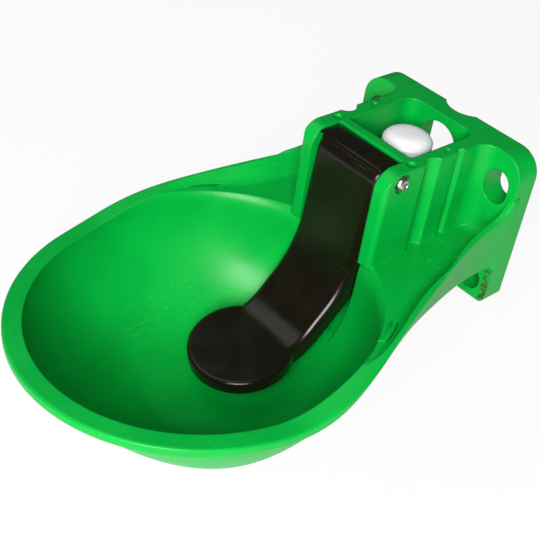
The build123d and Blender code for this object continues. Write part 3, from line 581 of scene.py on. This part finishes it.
class BOWL_OT_model_wing_rises(bpy.types.Operator):
    """Models the rounded top of each wing, which sweeps up into the wall plate"""
    bl_idname = "bowl.model_wing_rises"
    bl_label = "Model the rising wing tops"

    def execute(self, context):
        bowl = bpy.data.objects["bowl_body"]
        for side, name in ((1, "wing_rise_right"), (-1, "wing_rise_left")):
            outer = [self.outer_face(bowl, side, y) for y, top, width in RISE_STEPS]
            outer[-1] -= side * 2 * RISE_PROUD
            piece = self.start_root(name, side, outer[0])
            for step in range(1, len(RISE_STEPS)):
                self.extend(piece, outer, step)
            pick_faces(piece, lambda face: face.normal.z < -FACING)
            bpy.ops.transform.translate(value=(-side * RISE_LEAN, 0.0, 0.0))
            end_piece(piece, "base", context.scene.bowl_fittings.wing_top_round, segments=4)
            dress((name,), bpy.data.materials["Green polymer"])
        return {"FINISHED"}

    def start_root(self, name, side, outer):
        """Block inside the wall plate, wider at its foot, from which the wing top grows."""
        y, top, width = RISE_STEPS[0]
        place = (outer - side * width / 2, y + RISE_ROOT / 2, (top + RISE_FOOT) / 2)
        piece = start_piece(name, bpy.ops.mesh.primitive_cube_add, size=1.0, location=place,
                            scale=(width, RISE_ROOT, top - RISE_FOOT))
        pick_faces(piece, lambda face: face.normal.z < -FACING)
        bpy.ops.transform.resize(value=(RISE_SPREAD, 1.0, 1.0), center_override=(outer, y, RISE_FOOT))
        return piece

    def extend(self, piece, outer, step):
        """Draws the front end of the wing top out to the next step."""
        last_y, last_top, last_width = RISE_STEPS[step - 1]
        y, top, width = RISE_STEPS[step]
        pick_faces(piece, lambda face: (face.normal.y < -RISE_FRONT_FACING
                                        and face.center.y < last_y + HAIR))
        step_out((outer[step] - outer[step - 1], y - last_y, 0.0),
                 (width / last_width, 1.0, (top - RISE_FOOT) / (last_top - RISE_FOOT)),
                 (outer[step], y, RISE_FOOT))

    def outer_face(self, bowl, side, y):
        """Sideways place of the wing's outer face at a place along it, just outside the skin."""
        start = Vector((side * PROBE_START, y + PROBE_SHIFT, PROBE_HEIGHT))
        hit, place = bowl.ray_cast(start, Vector((-side, 0, 0)))[:2]
        if not hit:
            raise RuntimeError("the wing's outer face wasn't found")
        return place.x + side * RISE_PROUD


class BOWL_OT_model_wing_webs(bpy.types.Operator):
    """Models the thin webs that close the bend between each wing and the basin"""
    bl_idname = "bowl.model_wing_webs"
    bl_label = "Model the wing webs"

    def execute(self, context):
        for side, name in ((1, "wing_web_right"), (-1, "wing_web_left")):
            turn = (0.0, 0.0, side * WEB_TURN)
            place = (side * WEB_PLACE[0], WEB_PLACE[1], WEB_PLACE[2])
            piece = start_piece(name, bpy.ops.mesh.primitive_cube_add, size=1.0, location=place,
                                rotation=turn, scale=WEB_SIZE)
            for end in (1, -1):
                pick_faces(piece, lambda face: face.normal.y * end > FACING)
                centre = (place[0], place[1] + end * WEB_SIZE[1] / 2, place[2])
                step_out((side * -end * WEB_END_STEP[0], end * WEB_END_STEP[1], 0.0),
                         WEB_END_TAPER, centre)
            end_piece(piece, "base", WEB_EDGE, segments=2)
            dress((name,), bpy.data.materials["Green polymer web"])
        return {"FINISHED"}


class BOWL_OT_studio(bpy.types.Operator):
    """Adds the camera, the lamps, the room light and the pale floor"""
    bl_idname = "bowl.studio"
    bl_label = "Set up the studio"

    def execute(self, context):
        studio = context.scene.bowl_studio
        self.add_camera(context)
        self.add_lamp(context, "Key lamp", KEY_PLACE, studio.key_power, KEY_SIZE)
        self.add_lamp(context, "Fill lamp", FILL_PLACE, studio.fill_power, FILL_SIZE)
        self.set_room(context, studio.room_light)
        self.add_floor(context, studio)
        return {"FINISHED"}

    def add_camera(self, context):
        """Camera at the photograph's place and turn."""
        back = Vector((sin(CAMERA_AZIMUTH) * cos(CAMERA_ELEVATION),
                       -cos(CAMERA_AZIMUTH) * cos(CAMERA_ELEVATION), sin(CAMERA_ELEVATION)))
        level_right = Vector((cos(CAMERA_AZIMUTH), sin(CAMERA_AZIMUTH), 0.0))
        level_up = back.cross(level_right)
        right = cos(CAMERA_ROLL) * level_right + sin(CAMERA_ROLL) * level_up
        up = -sin(CAMERA_ROLL) * level_right + cos(CAMERA_ROLL) * level_up
        lens = bpy.data.cameras.new("Photo camera")
        lens.lens = FOCAL_LENGTH
        lens.sensor_width = SENSOR_WIDTH
        lens.clip_end = CLIP_END
        camera = bpy.data.objects.new("Photo camera", lens)
        turn = Matrix((right, up, back)).transposed().to_4x4()
        camera.matrix_world = Matrix.Translation(CAMERA_PLACE) @ turn
        context.scene.collection.objects.link(camera)
        context.scene.camera = camera

    def add_lamp(self, context, name, place, power, size):
        """Square area lamp that looks at the middle of the bowl."""
        lamp = bpy.data.lights.new(name, "AREA")
        lamp.energy = power
        lamp.size = size
        aim = Vector(LAMP_TARGET) - Vector(place)
        holder = bpy.data.objects.new(name, lamp)
        holder.location = place
        holder.rotation_euler = aim.to_track_quat("-Z", "Y").to_euler()
        context.scene.collection.objects.link(holder)

    def set_room(self, context, strength):
        """White room: plain light on the bowl, and pure white where the camera sees it."""
        world = bpy.data.worlds.new("Room")
        context.scene.world = world
        world.use_nodes = True
        tree = world.node_tree
        light = tree.nodes["Background"]
        light.inputs["Color"].default_value = (1.0, 1.0, 1.0, 1.0)
        light.inputs["Strength"].default_value = strength
        seen = tree.nodes.new("ShaderNodeBackground")
        seen.inputs["Color"].default_value = (1.0, 1.0, 1.0, 1.0)
        path = tree.nodes.new("ShaderNodeLightPath")
        mix = tree.nodes.new("ShaderNodeMixShader")
        tree.links.new(path.outputs["Is Camera Ray"], mix.inputs["Fac"])
        tree.links.new(light.outputs["Background"], mix.inputs[1])
        tree.links.new(seen.outputs["Background"], mix.inputs[2])
        tree.links.new(mix.outputs["Shader"], tree.nodes["World Output"].inputs["Surface"])

    def add_floor(self, context, studio):
        """Plain pale floor just under the basin."""
        bpy.ops.object.select_all(action="DESELECT")
        bpy.ops.mesh.primitive_plane_add(size=FLOOR_SIZE, location=(0.0, 0.0, studio.floor_height))
        floor = context.active_object
        floor.name = "Studio floor"
        material, shader = new_finish("Pale floor", Roughness=0.9)
        shader.inputs["Base Color"].default_value = (*studio.floor_colour, 1.0)
        tree = material.node_tree
        glow = tree.nodes.new("ShaderNodeEmission")
        path = tree.nodes.new("ShaderNodeLightPath")
        mix = tree.nodes.new("ShaderNodeMixShader")
        seen_glow = math_node(tree, "MULTIPLY", path.outputs["Is Camera Ray"], studio.floor_glow)
        tree.links.new(seen_glow, mix.inputs["Fac"])
        tree.links.new(shader.outputs["BSDF"], mix.inputs[1])
        tree.links.new(glow.outputs["Emission"], mix.inputs[2])
        tree.links.new(mix.outputs["Shader"], tree.nodes["Material Output"].inputs["Surface"])
        floor.data.materials.append(material)


class BOWL_PT_panel(bpy.types.Panel):
    """Sidebar panel that lists the bowl's steps"""
    bl_idname = "BOWL_PT_panel"
    bl_label = "Drinking Bowl"
    bl_space_type = "VIEW_3D"
    bl_region_type = "UI"
    bl_category = "Drinking Bowl"

    def draw(self, context):
        for step in STEPS:
            self.layout.operator(step.bl_idname)
        for group in (context.scene.bowl_finish, context.scene.bowl_fittings, context.scene.bowl_studio):
            box = self.layout.box()
            for title in group.bl_rna.properties.keys():
                if title not in {"rna_type", "name"}:
                    box.prop(group, title)


STEPS = (BOWL_OT_dress_mouldings, BOWL_OT_dress_metals, BOWL_OT_dress_soft_fittings,
         BOWL_OT_model_pivot_bolt, BOWL_OT_model_tongue_crown, BOWL_OT_model_wing_rises,
         BOWL_OT_model_wing_webs, BOWL_OT_studio)
CLASSES = (BowlFinish, BowlFittings, BowlStudio, *STEPS, BOWL_PT_panel)


def register():
    """Registers the classes and hangs the settings on the scene."""
    for cls in CLASSES:
        bpy.utils.register_class(cls)
    bpy.types.Scene.bowl_finish = PointerProperty(type=BowlFinish)
    bpy.types.Scene.bowl_fittings = PointerProperty(type=BowlFittings)
    bpy.types.Scene.bowl_studio = PointerProperty(type=BowlStudio)


def unregister():
    """Takes the settings and the classes away again."""
    del bpy.types.Scene.bowl_studio
    del bpy.types.Scene.bowl_fittings
    del bpy.types.Scene.bowl_finish
    for cls in reversed(CLASSES):
        bpy.utils.unregister_class(cls)


def main():
    """Runs every step in order."""
    register()
    bpy.context.scene.view_settings.view_transform = "Standard"
    bpy.ops.bowl.dress_mouldings()
    bpy.ops.bowl.dress_metals()
    bpy.ops.bowl.dress_soft_fittings()
    bpy.ops.bowl.model_pivot_bolt()
    bpy.ops.bowl.model_tongue_crown()
    bpy.ops.bowl.model_wing_rises()
    bpy.ops.bowl.model_wing_webs()
    bpy.ops.bowl.studio()


if __name__ == "__main__":
    main()
